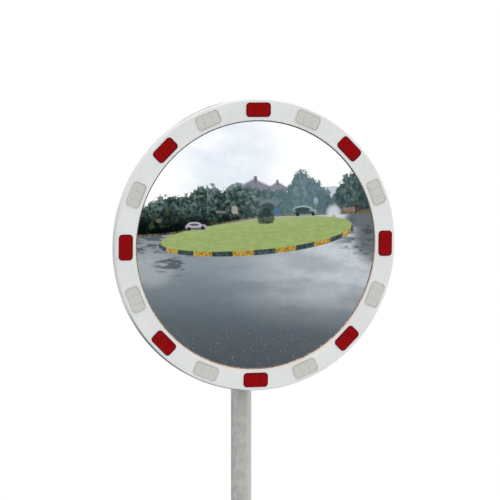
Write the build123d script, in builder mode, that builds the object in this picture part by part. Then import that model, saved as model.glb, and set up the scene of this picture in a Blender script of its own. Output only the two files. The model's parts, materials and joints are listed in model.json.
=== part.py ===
from build123d import *

import os
from collections import namedtuple
from math import cos, radians, sin, sqrt

os.makedirs("parts", exist_ok=True)

# Convex mirror, 600 mm clear view, in a 700 mm ring with a border of reflectors, on a post.
# Millimetres. The origin is on the post's axis, at the underside of the base plate.
# +Z is up, the mirror looks towards -Y, and +X is on the right as one faces the mirror.

# ---------------------------------------------------------------- driving dimensions

# Post and base
post_radius = 25.0
post_wall = 2.5
post_top = 1450.0
base_side = 220.0
base_thickness = 10.0
base_corner = 14.0
base_hole_pitch = 160.0
base_hole_radius = 7.0

# Head: its rest tilt (downwards), and depths measured behind the ring's flat face
rest_tilt = 2.0
pivot_height = 1340.0
pivot_depth = 82.0
pivot_to_post = 51.0

# Ring
ring_radius = 352.5
view_radius = 300.5
ring_depth = 25.0
ring_wall = 3.0
shoulder_radius = 5.0
lip_radius = 2.0

# Mirror
dome_radius = 1200.0
dome_edge_radius = 298.0
mirror_thickness = 3.0
mirror_radius = 315.5

# Reflectors
reflector_count = 16
reflector_ring_radius = 326.0
reflector_width = 62.0
reflector_height = 35.0
reflector_corner = 9.0
reflector_proud = 1.0
pocket_depth = 1.0

# Rear shell
shell_thickness = 3.0
shell_depth = 55.0
shell_flat_radius = 120.0
shell_flange_radius = 322.0

# Clamp
clamp_height = 100.0
clamp_thickness = 4.0
liner_thickness = 2.0
fit_gap = 0.05

# Fasteners
Size = namedtuple("Size", "radius across_flats head nut washer_radius washer spring")
M8 = Size(4.0, 13.0, 5.3, 6.5, 8.0, 1.6, 2.0)
M10 = Size(5.0, 17.0, 6.4, 8.0, 10.0, 2.0, 2.2)
hole_clearance = 0.25
pivot_clearance = 0.08
bolt_overrun = 3.0

# ---------------------------------------------------------------- the head's own frame

right = Vector(1, 0, 0)
forward = Vector(0, -cos(radians(rest_tilt)), -sin(radians(rest_tilt)))
upward = Vector(0, -sin(radians(rest_tilt)), cos(radians(rest_tilt)))
pivot = Vector(0, -pivot_to_post, pivot_height)
face_centre = pivot + forward * pivot_depth
head_axis = Axis(face_centre, forward)
post_axis = Axis.Z


def head_plane(depth=0.0, angle=0.0):
    """A plane facing forwards, a depth behind the ring's face, its x turned by an angle."""
    across = right * cos(radians(angle)) + upward * sin(radians(angle))
    return Plane(origin=face_centre - forward * depth, x_dir=across, z_dir=forward)


def head_section(angle=0.0):
    """A plane through the head's axis: x runs outwards and y forwards from the face."""
    across = right * cos(radians(angle)) + upward * sin(radians(angle))
    return Plane(origin=face_centre, x_dir=across, z_dir=across.cross(forward))


def back_plane(depth):
    """A plane facing backwards, a depth behind the ring's face, with y upwards."""
    return Plane(origin=face_centre - forward * depth, x_dir=right * -1, z_dir=forward * -1)


def head_side_plane(x):
    """A plane at a distance from the middle, origin on the pivot: x upwards, y forwards."""
    return Plane(origin=pivot + right * x, x_dir=upward, z_dir=right)


def clamp_side_plane(x):
    """The same plane without the head's tilt."""
    return Plane(origin=pivot + right * x, x_dir=(0, 0, 1), z_dir=right)


# ---------------------------------------------------------------- fasteners, made once each

# Shares of the thread's radius
bolt_chamfer_share = 0.2
nut_chamfer_share = 0.15
spring_radius_share = 1.8
spring_slit_share = 0.3
upright = (Align.CENTER, Align.CENTER, Align.MIN)


def hex_bolt(size, length):
    """A bolt with the bearing face of its head on XY, its head above and shank below."""
    with BuildPart() as bolt:
        Cylinder(size.across_flats / sqrt(3), size.head, align=upright)
        chamfer(bolt.edges().sort_by(Axis.Z)[-1], size.radius * bolt_chamfer_share)
        with BuildSketch():
            RegularPolygon(size.across_flats / 2, 6, major_radius=False)
        extrude(amount=size.head, mode=Mode.INTERSECT)
        with BuildSketch():
            Circle(size.radius)
        extrude(amount=-length)
        chamfer(bolt.edges().sort_by(Axis.Z)[0], size.radius * bolt_chamfer_share)
    return bolt.part


def hex_nut(size):
    """A nut standing on XY."""
    with BuildPart() as nut:
        Cylinder(size.across_flats / sqrt(3), size.nut, align=upright)
        chamfer(nut.edges().filter_by(GeomType.CIRCLE), size.radius * nut_chamfer_share)
        with BuildSketch():
            RegularPolygon(size.across_flats / 2, 6, major_radius=False)
        extrude(amount=size.nut, mode=Mode.INTERSECT)
        with BuildSketch():
            Circle(size.radius)
        extrude(amount=size.nut, mode=Mode.SUBTRACT)
    return nut.part


def flat_washer(size):
    """A flat washer lying on XY."""
    with BuildPart() as washer:
        with BuildSketch():
            Circle(size.washer_radius)
            Circle(size.radius + hole_clearance, mode=Mode.SUBTRACT)
        extrude(amount=size.washer)
    return washer.part


def spring_washer(size):
    """A split spring washer lying flat on XY, as it is when tightened."""
    outer_radius = size.radius * spring_radius_share
    with BuildPart() as washer:
        with BuildSketch():
            Circle(outer_radius)
            Circle(size.radius + hole_clearance, mode=Mode.SUBTRACT)
            Rectangle(
                outer_radius,
                size.radius * spring_slit_share,
                align=(Align.MIN, Align.CENTER),
                mode=Mode.SUBTRACT,
            )
        extrude(amount=size.spring)
    return washer.part


# ---------------------------------------------------------------- ring

screw_count = 8
boss_radius = 4.5
pilot_radius = 1.55
rib_inner_radius = 316.5
rib_outer_radius = 319.0
screw_circle_radius = (rib_outer_radius + ring_radius - ring_wall) / 2
rib_depth = 14.0
web_thickness = 2.0
web_root = 1.0
bezel_width = 1.4
bezel_height = 0.6
rear_edge_radius = 1.2
pitch_angle = 360 / reflector_count
shell_plane_depth = ring_depth - shell_thickness

with BuildPart() as front_frame:
    with BuildSketch(head_section()):
        with BuildLine():
            FilletPolyline(
                (view_radius, -ring_wall),
                (view_radius, 0),
                (view_radius + 2 * lip_radius, 0),
                radius=lip_radius,
            )
            Line((view_radius + 2 * lip_radius, 0), (ring_radius - 2 * shoulder_radius, 0))
            FilletPolyline(
                (ring_radius - 2 * shoulder_radius, 0),
                (ring_radius, 0),
                (ring_radius, -ring_depth / 2),
                radius=shoulder_radius,
            )
            FilletPolyline(
                (ring_radius, -ring_depth / 2),
                (ring_radius, -ring_depth),
                (ring_radius - ring_wall, -ring_depth),
                radius=rear_edge_radius,
            )
            Polyline(
                (ring_radius - ring_wall, -ring_depth),
                (ring_radius - ring_wall, -ring_wall),
                (rib_outer_radius, -ring_wall),
                (rib_outer_radius, -rib_depth),
                (rib_inner_radius, -rib_depth),
                (rib_inner_radius, -ring_wall),
                (view_radius, -ring_wall),
            )
        make_face()
    revolve(axis=head_axis)
    # Screw bosses between the reflectors, tied to the rim and the rib by a web
    with BuildSketch(head_plane(ring_wall)):
        with PolarLocations(screw_circle_radius, screw_count, start_angle=pitch_angle / 2):
            Circle(boss_radius)
    extrude(amount=ring_wall - shell_plane_depth)
    with BuildSketch(head_plane(ring_wall)):
        with PolarLocations(screw_circle_radius, screw_count, start_angle=pitch_angle / 2):
            Rectangle(ring_radius - ring_wall - rib_outer_radius + 2 * web_root, web_thickness)
    extrude(amount=ring_wall - rib_depth)
    with BuildSketch(head_plane(shell_plane_depth)):
        with PolarLocations(screw_circle_radius, screw_count, start_angle=pitch_angle / 2):
            Circle(pilot_radius)
    extrude(amount=shell_plane_depth - 2 * ring_wall, mode=Mode.SUBTRACT)
    # Pockets for the reflectors, each with a thin raised border
    with BuildSketch(head_plane(pocket_depth)):
        with PolarLocations(reflector_ring_radius, reflector_count):
            RectangleRounded(
                reflector_height + 2 * bezel_width,
                reflector_width + 2 * bezel_width,
                reflector_corner + bezel_width,
            )
            RectangleRounded(reflector_height, reflector_width, reflector_corner, mode=Mode.SUBTRACT)
    extrude(amount=pocket_depth + bezel_height)
    with BuildSketch(head_plane()):
        with PolarLocations(reflector_ring_radius, reflector_count):
            RectangleRounded(reflector_height, reflector_width, reflector_corner)
    extrude(amount=-pocket_depth, mode=Mode.SUBTRACT)

front_frame.part.label = "front_frame"
export_step(front_frame.part, "parts/front_frame.step")

# ---------------------------------------------------------------- mirror

dome_centre = -ring_wall - sqrt(dome_radius**2 - dome_edge_radius**2)
apex = dome_centre + dome_radius
mirror_back = -ring_wall - mirror_thickness
inner_edge_radius = sqrt((dome_radius - mirror_thickness) ** 2 - (mirror_back - dome_centre) ** 2)

with BuildPart() as mirror_dome:
    with BuildSketch(head_section()):
        with BuildLine():
            TangentArc((0, apex), (dome_edge_radius, -ring_wall), tangent=(1, 0))
            Polyline(
                (dome_edge_radius, -ring_wall),
                (mirror_radius, -ring_wall),
                (mirror_radius, mirror_back),
                (inner_edge_radius, mirror_back),
            )
            TangentArc((0, apex - mirror_thickness), (inner_edge_radius, mirror_back), tangent=(1, 0))
            Line((0, apex - mirror_thickness), (0, apex))
        make_face()
    revolve(axis=head_axis)

mirror_dome.part.label = "mirror_dome"
export_step(mirror_dome.part, "parts/mirror_dome.step")

# ---------------------------------------------------------------- gasket behind the mirror's edge

gasket_thickness = 2.0
gasket_inner_radius = 303.0
gasket_outer_radius = 314.0
gasket_depth = ring_wall + mirror_thickness

with BuildPart() as mirror_gasket:
    with BuildSketch(head_plane(gasket_depth)):
        Circle(gasket_outer_radius)
        Circle(gasket_inner_radius, mode=Mode.SUBTRACT)
    extrude(amount=-gasket_thickness)

mirror_gasket.part.label = "mirror_gasket"
export_step(mirror_gasket.part, "parts/mirror_gasket.step")

# ---------------------------------------------------------------- reflectors

border_width = 1.6
border_height = 0.4
cell_columns = 3
divider_width = 0.8
reflector_body = pocket_depth + reflector_proud - border_height

for index in range(reflector_count):
    # Clockwise from the top, red and white in turn
    colour = ("red", "white")[index % 2]
    label = f"{colour}_reflector_{index // 2 + 1}"
    angle = 90 - index * pitch_angle
    with BuildPart() as reflector:
        with BuildSketch(head_plane(pocket_depth, angle)):
            with Locations((reflector_ring_radius, 0)):
                RectangleRounded(reflector_height, reflector_width, reflector_corner)
        extrude(amount=reflector_body)
        # Raised border, and dividers that part the face into columns of cells
        with BuildSketch(head_plane(pocket_depth - reflector_body, angle)):
            with Locations((reflector_ring_radius, 0)):
                RectangleRounded(reflector_height, reflector_width, reflector_corner)
                RectangleRounded(
                    reflector_height - 2 * border_width,
                    reflector_width - 2 * border_width,
                    reflector_corner - border_width,
                    mode=Mode.SUBTRACT,
                )
                with GridLocations(0, reflector_width / cell_columns, 1, cell_columns - 1):
                    Rectangle(reflector_height - border_width, divider_width)
        extrude(amount=border_height)
    reflector.part.label = label
    export_step(reflector.part, f"parts/{label}.step")

# ---------------------------------------------------------------- rear shell

shell_gap = 0.4
shell_radius = ring_radius - ring_wall - shell_gap
clamp_rib_inner_radius = 306.0
clamp_rib_outer_radius = 310.0
clamp_rib_root_depth = 27.5
screw_hole_radius = 2.2
dish_radius = ((shell_flange_radius - shell_flat_radius) ** 2 + (shell_depth - ring_depth) ** 2) / (
    2 * (shell_depth - ring_depth)
)
dish_centre_depth = shell_depth - dish_radius
inner_dish_radius = dish_radius - shell_thickness
inner_flange_radius = shell_flat_radius + sqrt(
    inner_dish_radius**2 - (shell_plane_depth - dish_centre_depth) ** 2
)
bracket_hole_x = 45.0
bracket_hole_y = 50.0
stiffening_rib_count = 8
stiffening_rib_height = 3.0
stiffening_rib_width = 9.0
stiffening_rib_start = 132.0
stiffening_rib_end = 312.0


def dish_depth(radius, raise_by=0.0):
    """Depth of the shell's outer surface at a radius, raised outwards by an amount."""
    return dish_centre_depth + sqrt((dish_radius + raise_by) ** 2 - (radius - shell_flat_radius) ** 2)


with BuildPart() as rear_shell:
    with BuildSketch(head_section()):
        with BuildLine():
            Line((0, -shell_depth), (shell_flat_radius, -shell_depth))
            TangentArc(
                (shell_flat_radius, -shell_depth), (shell_flange_radius, -ring_depth), tangent=(1, 0)
            )
            Polyline(
                (shell_flange_radius, -ring_depth),
                (shell_radius, -ring_depth),
                (shell_radius, -shell_plane_depth),
                (inner_flange_radius, -shell_plane_depth),
            )
            TangentArc(
                (shell_flat_radius, shell_thickness - shell_depth),
                (inner_flange_radius, -shell_plane_depth),
                tangent=(1, 0),
            )
            Polyline(
                (shell_flat_radius, shell_thickness - shell_depth),
                (0, shell_thickness - shell_depth),
                (0, -shell_depth),
            )
        make_face()
    revolve(axis=head_axis)
    # Rib that presses the gasket on the mirror's edge
    with BuildSketch(head_plane(gasket_depth + gasket_thickness)):
        Circle(clamp_rib_outer_radius)
        Circle(clamp_rib_inner_radius, mode=Mode.SUBTRACT)
    extrude(amount=gasket_depth + gasket_thickness - clamp_rib_root_depth)
    # Radial ribs on the outside of the dish
    for index in range(stiffening_rib_count):
        with BuildSketch(head_section(index * 360 / stiffening_rib_count)):
            with BuildLine():
                middle = (stiffening_rib_start + stiffening_rib_end) / 2
                ramp = 2 * stiffening_rib_height
                start = stiffening_rib_start
                end = stiffening_rib_end
                ThreePointArc(
                    (start + ramp, -dish_depth(start + ramp, stiffening_rib_height)),
                    (middle, -dish_depth(middle, stiffening_rib_height)),
                    (end - ramp, -dish_depth(end - ramp, stiffening_rib_height)),
                )
                Line((end - ramp, -dish_depth(end - ramp, stiffening_rib_height)), (end, -dish_depth(end)))
                Line((end, -dish_depth(end)), (end, -dish_depth(end, -shell_thickness / 2)))
                ThreePointArc(
                    (end, -dish_depth(end, -shell_thickness / 2)),
                    (middle, -dish_depth(middle, -shell_thickness / 2)),
                    (start, -dish_depth(start, -shell_thickness / 2)),
                )
                Line((start, -dish_depth(start, -shell_thickness / 2)), (start, -dish_depth(start)))
                Line(
                    (start, -dish_depth(start)),
                    (start + ramp, -dish_depth(start + ramp, stiffening_rib_height)),
                )
            make_face()
        extrude(amount=stiffening_rib_width / 2, both=True)
    # Holes for the frame screws and the bracket bolts
    with BuildSketch(head_plane(shell_plane_depth)):
        with PolarLocations(screw_circle_radius, screw_count, start_angle=pitch_angle / 2):
            Circle(screw_hole_radius)
    extrude(amount=-shell_thickness, mode=Mode.SUBTRACT)
    with BuildSketch(head_plane(shell_depth - shell_thickness)):
        with GridLocations(2 * bracket_hole_x, 2 * bracket_hole_y, 2, 2):
            Circle(M8.radius + hole_clearance)
    extrude(amount=-shell_thickness, mode=Mode.SUBTRACT)

rear_shell.part.label = "rear_shell"
export_step(rear_shell.part, "parts/rear_shell.step")

# ---------------------------------------------------------------- screws, shell to ring

screw_head_radius = 4.0
screw_head_height = 2.6
screw_shank_radius = 1.5
screw_length = 15.0
screw_head_round = 1.0
recess_width = 1.1
recess_length = 4.4
recess_depth = 1.6

with BuildPart() as frame_screws:
    with BuildSketch(back_plane(ring_depth)):
        with PolarLocations(screw_circle_radius, screw_count, start_angle=-pitch_angle / 2):
            Circle(screw_head_radius)
    extrude(amount=screw_head_height)
    fillet(frame_screws.faces().group_by(head_axis)[0].edges(), screw_head_round)
    with BuildSketch(back_plane(ring_depth)):
        with PolarLocations(screw_circle_radius, screw_count, start_angle=-pitch_angle / 2):
            Circle(screw_shank_radius)
    extrude(amount=-screw_length)
    # Cross recesses
    with BuildSketch(back_plane(ring_depth + screw_head_height)):
        with PolarLocations(screw_circle_radius, screw_count, start_angle=-pitch_angle / 2):
            Rectangle(recess_length, recess_width)
            Rectangle(recess_width, recess_length)
    extrude(amount=-recess_depth, mode=Mode.SUBTRACT)

frame_screws.part.label = "frame_screws"
export_step(frame_screws.part, "parts/frame_screws.step")

# ---------------------------------------------------------------- stiffener plate in the shell

stiffener_side = 170.0
stiffener_corner = 25.0
stiffener_thickness = 3.0
stiffener_front = shell_depth - shell_thickness - stiffener_thickness

with BuildPart() as stiffener_plate:
    with BuildSketch(head_plane(stiffener_front)):
        RectangleRounded(stiffener_side, stiffener_side, stiffener_corner)
        with GridLocations(2 * bracket_hole_x, 2 * bracket_hole_y, 2, 2):
            Circle(M8.radius + hole_clearance, mode=Mode.SUBTRACT)
    extrude(amount=-stiffener_thickness)

stiffener_plate.part.label = "stiffener_plate"
export_step(stiffener_plate.part, "parts/stiffener_plate.step")

# ---------------------------------------------------------------- tilt bracket with its two ears

bracket_width = 126.0
bracket_height = 136.0
bracket_corner = 12.0
bracket_thickness = 4.0
ear_radius = 14.0
ear_inner_x = 26.0
ear_thickness = 4.0
ear_root_height = 72.0
bend_radius = 3.0
edge_tolerance = 0.1
bracket_face = pivot_depth - shell_depth - bracket_thickness

with BuildPart() as tilt_bracket:
    with BuildSketch(head_plane(shell_depth)):
        RectangleRounded(bracket_width, bracket_height, bracket_corner)
        with GridLocations(2 * bracket_hole_x, 2 * bracket_hole_y, 2, 2):
            Circle(M8.radius + hole_clearance, mode=Mode.SUBTRACT)
    extrude(amount=-bracket_thickness)
    with BuildSketch(head_side_plane(ear_inner_x), head_side_plane(-ear_inner_x - ear_thickness)):
        Circle(ear_radius)
        with Locations((0, bracket_face + bracket_thickness / 2)):
            Rectangle(ear_root_height, bracket_thickness)
        make_hull()
        Circle(M10.radius + hole_clearance, mode=Mode.SUBTRACT)
    extrude(amount=ear_thickness)
    fillet(
        [
            edge
            for edge in tilt_bracket.edges().filter_by(Axis(pivot, upward))
            if abs(abs(edge.center().X) - ear_inner_x - ear_thickness) < edge_tolerance
            and (edge.center() - pivot).dot(forward) > bracket_face - edge_tolerance
        ],
        bend_radius,
    )

tilt_bracket.part.label = "tilt_bracket"
export_step(tilt_bracket.part, "parts/tilt_bracket.step")

# ---------------------------------------------------------------- bracket bolts, washers and nuts

bracket_back = shell_depth + bracket_thickness
bracket_bolt_length = 22.0

with BuildPart(back_plane(bracket_back)) as bracket_washers:
    with GridLocations(2 * bracket_hole_x, 2 * bracket_hole_y, 2, 2):
        add(flat_washer(M8))

bracket_washers.part.label = "bracket_washers"
export_step(bracket_washers.part, "parts/bracket_washers.step")

with BuildPart(back_plane(bracket_back + M8.washer)) as bracket_bolts:
    with GridLocations(2 * bracket_hole_x, 2 * bracket_hole_y, 2, 2):
        add(hex_bolt(M8, bracket_bolt_length))

bracket_bolts.part.label = "bracket_bolts"
export_step(bracket_bolts.part, "parts/bracket_bolts.step")

with BuildPart(head_plane(stiffener_front)) as bracket_nuts:
    with GridLocations(2 * bracket_hole_x, 2 * bracket_hole_y, 2, 2):
        add(hex_nut(M8))

bracket_nuts.part.label = "bracket_nuts"
export_step(bracket_nuts.part, "parts/bracket_nuts.step")

# ---------------------------------------------------------------- pivot bolt and its hardware

ear_outer_x = ear_inner_x + ear_thickness
pivot_bolt_end = 48.0

with BuildPart(head_side_plane(ear_outer_x), head_side_plane(-ear_outer_x - M10.washer)) as pivot_washers:
    add(flat_washer(M10))

pivot_washers.part.label = "pivot_washers"
export_step(pivot_washers.part, "parts/pivot_washers.step")

with BuildPart(head_side_plane(ear_outer_x + M10.washer)) as pivot_bolt:
    add(hex_bolt(M10, ear_outer_x + M10.washer + pivot_bolt_end))

pivot_bolt.part.label = "pivot_bolt"
export_step(pivot_bolt.part, "parts/pivot_bolt.step")

with BuildPart(head_side_plane(-ear_outer_x - M10.washer - M10.spring)) as pivot_spring_washer:
    add(spring_washer(M10))

pivot_spring_washer.part.label = "pivot_spring_washer"
export_step(pivot_spring_washer.part, "parts/pivot_spring_washer.step")

with BuildPart(head_side_plane(-ear_outer_x - M10.washer - M10.spring - M10.nut)) as pivot_nut:
    add(hex_nut(M10))

pivot_nut.part.label = "pivot_nut"
export_step(pivot_nut.part, "parts/pivot_nut.step")

# ---------------------------------------------------------------- lug between the bracket's ears

disc_thickness = 1.0
lug_outer_x = ear_inner_x - disc_thickness
lug_thickness = 4.0
lug_root_height = 64.0
saddle_face = 31.0
bridge_middle = saddle_face + lug_thickness / 2 - pivot_to_post
pivot_hole_radius = M10.radius + pivot_clearance

with BuildPart() as clamp_lug:
    with BuildSketch(clamp_side_plane(lug_outer_x - lug_thickness), clamp_side_plane(-lug_outer_x)):
        Circle(ear_radius)
        with Locations((0, bridge_middle)):
            Rectangle(lug_root_height, lug_thickness)
        make_hull()
    extrude(amount=lug_thickness)
    with BuildSketch(clamp_side_plane(-lug_outer_x)):
        with Locations((0, bridge_middle)):
            Rectangle(lug_root_height, lug_thickness)
    extrude(amount=2 * lug_outer_x)
    with BuildSketch(clamp_side_plane(-lug_outer_x)):
        Circle(pivot_hole_radius)
    extrude(amount=2 * lug_outer_x, mode=Mode.SUBTRACT)

clamp_lug.part.label = "clamp_lug"
export_step(clamp_lug.part, "parts/clamp_lug.step")

with BuildPart() as friction_discs:
    with BuildSketch(clamp_side_plane(lug_outer_x), clamp_side_plane(-ear_inner_x)):
        Circle(ear_radius)
        Circle(pivot_hole_radius, mode=Mode.SUBTRACT)
    extrude(amount=disc_thickness)

friction_discs.part.label = "friction_discs"
export_step(friction_discs.part, "parts/friction_discs.step")

spacer_radius = 8.5

with BuildPart() as pivot_spacer:
    with BuildSketch(clamp_side_plane(lug_thickness - lug_outer_x)):
        Circle(spacer_radius)
        Circle(pivot_hole_radius, mode=Mode.SUBTRACT)
    extrude(amount=2 * (lug_outer_x - lug_thickness))

pivot_spacer.part.label = "pivot_spacer"
export_step(pivot_spacer.part, "parts/pivot_spacer.step")

# ---------------------------------------------------------------- clamp halves

clamp_inner_radius = post_radius + fit_gap + liner_thickness + fit_gap
clamp_outer_radius = saddle_face
clamp_bottom = pivot_height - clamp_height / 2
half_gap = 2.0
flange_reach = 64.0
flange_corner = 9.0
clamp_bolt_x = 47.0
clamp_bolt_pitch = 60.0
pad_height = 72.0
clamp_rib_reach = 3.0
clamp_rib_width = 8.0
flange_face = half_gap + clamp_thickness

with BuildPart() as clamp_front:
    with BuildSketch(Plane.XY.offset(clamp_bottom)):
        Circle(clamp_outer_radius)
        with Locations((0, -half_gap)):
            Rectangle(2 * flange_reach, clamp_thickness, align=(Align.CENTER, Align.MAX))
    extrude(amount=clamp_height)
    fillet(
        [
            edge
            for edge in clamp_front.edges().filter_by(Axis.Y)
            if abs(edge.center().X) > flange_reach - flange_corner
        ],
        flange_corner,
    )
    # Flat pad that the lug is welded to
    with BuildSketch(Plane.XY.offset(pivot_height - pad_height / 2)):
        Rectangle(2 * lug_outer_x, saddle_face, align=(Align.CENTER, Align.MAX))
    extrude(amount=pad_height)
    with BuildSketch(Plane.XY.offset(clamp_bottom)):
        Circle(clamp_inner_radius)
        with Locations((0, -half_gap)):
            Rectangle(2 * clamp_outer_radius, 2 * clamp_outer_radius, align=(Align.CENTER, Align.MIN))
    extrude(amount=clamp_height, mode=Mode.SUBTRACT)
    with BuildSketch(Plane.XZ.offset(half_gap)):
        with Locations((0, pivot_height)):
            with GridLocations(2 * clamp_bolt_x, clamp_bolt_pitch, 2, 2):
                Circle(M8.radius + hole_clearance)
    extrude(amount=clamp_thickness, mode=Mode.SUBTRACT)

clamp_front.part.label = "clamp_front"
export_step(clamp_front.part, "parts/clamp_front.step")

with BuildPart() as clamp_rear:
    with BuildSketch(Plane.XY.offset(clamp_bottom)):
        Circle(clamp_outer_radius)
        with Locations((0, half_gap)):
            Rectangle(2 * flange_reach, clamp_thickness, align=(Align.CENTER, Align.MIN))
    extrude(amount=clamp_height)
    fillet(
        [
            edge
            for edge in clamp_rear.edges().filter_by(Axis.Y)
            if abs(edge.center().X) > flange_reach - flange_corner
        ],
        flange_corner,
    )
    # Two raised bands round the back
    for height in (clamp_bolt_pitch / 4, -clamp_bolt_pitch / 4):
        with BuildSketch(Plane.XY.offset(pivot_height + height - clamp_rib_width / 2)):
            Circle(clamp_outer_radius + clamp_rib_reach)
        extrude(amount=clamp_rib_width)
    with BuildSketch(Plane.XY.offset(clamp_bottom)):
        Circle(clamp_inner_radius)
        with Locations((0, half_gap)):
            Rectangle(
                2 * clamp_outer_radius + 2 * clamp_rib_reach,
                2 * clamp_outer_radius,
                align=(Align.CENTER, Align.MAX),
            )
    extrude(amount=clamp_height, mode=Mode.SUBTRACT)
    with BuildSketch(Plane.XZ.offset(-half_gap)):
        with Locations((0, pivot_height)):
            with GridLocations(2 * clamp_bolt_x, clamp_bolt_pitch, 2, 2):
                Circle(M8.radius + hole_clearance)
    extrude(amount=-clamp_thickness, mode=Mode.SUBTRACT)

clamp_rear.part.label = "clamp_rear"
export_step(clamp_rear.part, "parts/clamp_rear.step")

# ---------------------------------------------------------------- clamp bolts, washers and nuts


def clamp_seat(distance):
    """A plane at a distance in front of the post's axis, facing forwards, at pivot height."""
    return Plane(origin=(0, -distance, pivot_height), x_dir=(1, 0, 0), z_dir=(0, -1, 0))


def rear_seat(distance):
    """A plane at a distance behind the post's axis, facing backwards, at pivot height."""
    return Plane(origin=(0, distance, pivot_height), x_dir=(-1, 0, 0), z_dir=(0, 1, 0))


nut_seat = flange_face + M8.washer + M8.spring
clamp_bolt_length = flange_face + M8.washer + nut_seat + M8.nut + bolt_overrun

with BuildPart(rear_seat(flange_face), clamp_seat(flange_face)) as clamp_washers:
    with GridLocations(2 * clamp_bolt_x, clamp_bolt_pitch, 2, 2):
        add(flat_washer(M8))

clamp_washers.part.label = "clamp_washers"
export_step(clamp_washers.part, "parts/clamp_washers.step")

with BuildPart(clamp_seat(flange_face + M8.washer)) as clamp_spring_washers:
    with GridLocations(2 * clamp_bolt_x, clamp_bolt_pitch, 2, 2):
        add(spring_washer(M8))

clamp_spring_washers.part.label = "clamp_spring_washers"
export_step(clamp_spring_washers.part, "parts/clamp_spring_washers.step")

with BuildPart(clamp_seat(nut_seat)) as clamp_nuts:
    with GridLocations(2 * clamp_bolt_x, clamp_bolt_pitch, 2, 2):
        add(hex_nut(M8))

clamp_nuts.part.label = "clamp_nuts"
export_step(clamp_nuts.part, "parts/clamp_nuts.step")

with BuildPart(rear_seat(flange_face + M8.washer)) as clamp_bolts:
    with GridLocations(2 * clamp_bolt_x, clamp_bolt_pitch, 2, 2):
        add(hex_bolt(M8, clamp_bolt_length))

clamp_bolts.part.label = "clamp_bolts"
export_step(clamp_bolts.part, "parts/clamp_bolts.step")

# ---------------------------------------------------------------- rubber liner in the clamp

liner_inner_radius = post_radius + fit_gap
liner_outer_radius = liner_inner_radius + liner_thickness
liner_lip = 3.0
liner_slit = 3.0

with BuildPart() as clamp_liner:
    with BuildSketch(Plane.XY.offset(clamp_bottom - liner_thickness)):
        Circle(liner_outer_radius + liner_lip)
    extrude(amount=liner_thickness)
    with BuildSketch(Plane.XY.offset(clamp_bottom)):
        Circle(liner_outer_radius)
    extrude(amount=clamp_height)
    with BuildSketch(Plane.XY.offset(clamp_bottom + clamp_height)):
        Circle(liner_outer_radius + liner_lip)
    extrude(amount=liner_thickness)
    with BuildSketch(Plane.XY.offset(clamp_bottom - liner_thickness)):
        Circle(liner_inner_radius)
        Rectangle(liner_slit, 2 * liner_outer_radius, align=(Align.CENTER, Align.MIN))
    extrude(amount=clamp_height + 2 * liner_thickness, mode=Mode.SUBTRACT)

clamp_liner.part.label = "clamp_liner"
export_step(clamp_liner.part, "parts/clamp_liner.step")

# ---------------------------------------------------------------- post and cap

post_edge_chamfer = 0.5

with BuildPart() as post_tube:
    with BuildSketch(Plane.XY.offset(base_thickness)):
        Circle(post_radius)
        Circle(post_radius - post_wall, mode=Mode.SUBTRACT)
    extrude(amount=post_top - base_thickness)
    chamfer(post_tube.edges().group_by(Axis.Z)[-1], post_edge_chamfer)

post_tube.part.label = "post_tube"
export_step(post_tube.part, "parts/post_tube.step")

cap_thickness = 4.0
cap_skirt = 24.0
cap_skirt_radius = post_radius - post_wall - 2 * fit_gap
cap_lip_radius = post_radius + 1.0
cap_edge_round = 2.4

with BuildPart() as post_cap:
    with BuildSketch(Plane.XY.offset(post_top)):
        Circle(cap_lip_radius)
    extrude(amount=cap_thickness)
    fillet(post_cap.edges().group_by(Axis.Z)[-1], cap_edge_round)
    with BuildSketch(Plane.XY.offset(post_top)):
        Circle(cap_skirt_radius)
        Circle(cap_skirt_radius - post_wall, mode=Mode.SUBTRACT)
    extrude(amount=-cap_skirt)

post_cap.part.label = "post_cap"
export_step(post_cap.part, "parts/post_cap.step")

# ---------------------------------------------------------------- base plate, gussets, weld

base_edge_chamfer = 1.0

with BuildPart() as base_plate:
    with BuildSketch():
        RectangleRounded(base_side, base_side, base_corner)
        with GridLocations(base_hole_pitch, base_hole_pitch, 2, 2):
            Circle(base_hole_radius, mode=Mode.SUBTRACT)
    extrude(amount=base_thickness)
    chamfer(base_plate.faces().sort_by(Axis.Z)[-1].outer_wire().edges(), base_edge_chamfer)

base_plate.part.label = "base_plate"
export_step(base_plate.part, "parts/base_plate.step")

gusset_reach = 88.0
gusset_height = 85.0
gusset_toe = 12.0
gusset_snipe = 8.0
gusset_thickness = 8.0
gusset_count = 4

for index in range(gusset_count):
    angle = radians(index * 360 / gusset_count)
    outwards = Vector(cos(angle), sin(angle), 0)
    gusset_plane = Plane(
        origin=(0, 0, base_thickness), x_dir=outwards, z_dir=outwards.cross(Vector(0, 0, 1))
    )
    with BuildPart() as gusset:
        with BuildSketch(gusset_plane):
            Polygon(
                (post_radius + gusset_snipe, 0),
                (gusset_reach, 0),
                (gusset_reach, gusset_toe),
                (post_radius + gusset_toe, gusset_height),
                (post_radius - post_wall / 2, gusset_height),
                (post_radius - post_wall / 2, gusset_snipe),
                (post_radius, gusset_snipe),
                align=None,
            )
        extrude(amount=gusset_thickness / 2, both=True)
        with BuildSketch(Plane.XY.offset(base_thickness)):
            Circle(post_radius)
        extrude(amount=gusset_height, mode=Mode.SUBTRACT)
    gusset.part.label = f"base_gusset_{index + 1}"
    export_step(gusset.part, f"parts/base_gusset_{index + 1}.step")

weld_leg = 5.0

with BuildPart() as post_weld:
    with BuildSketch(Plane.XZ):
        Polygon(
            (post_radius, base_thickness),
            (post_radius + weld_leg, base_thickness),
            (post_radius, base_thickness + weld_leg),
            align=None,
        )
    revolve(axis=post_axis)

post_weld.part.label = "post_weld"
export_step(post_weld.part, "parts/post_weld.step")
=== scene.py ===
import json
from math import cos, pi, radians, sin, sqrt

import bmesh
import bpy
from mathutils import Matrix, Vector


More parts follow.
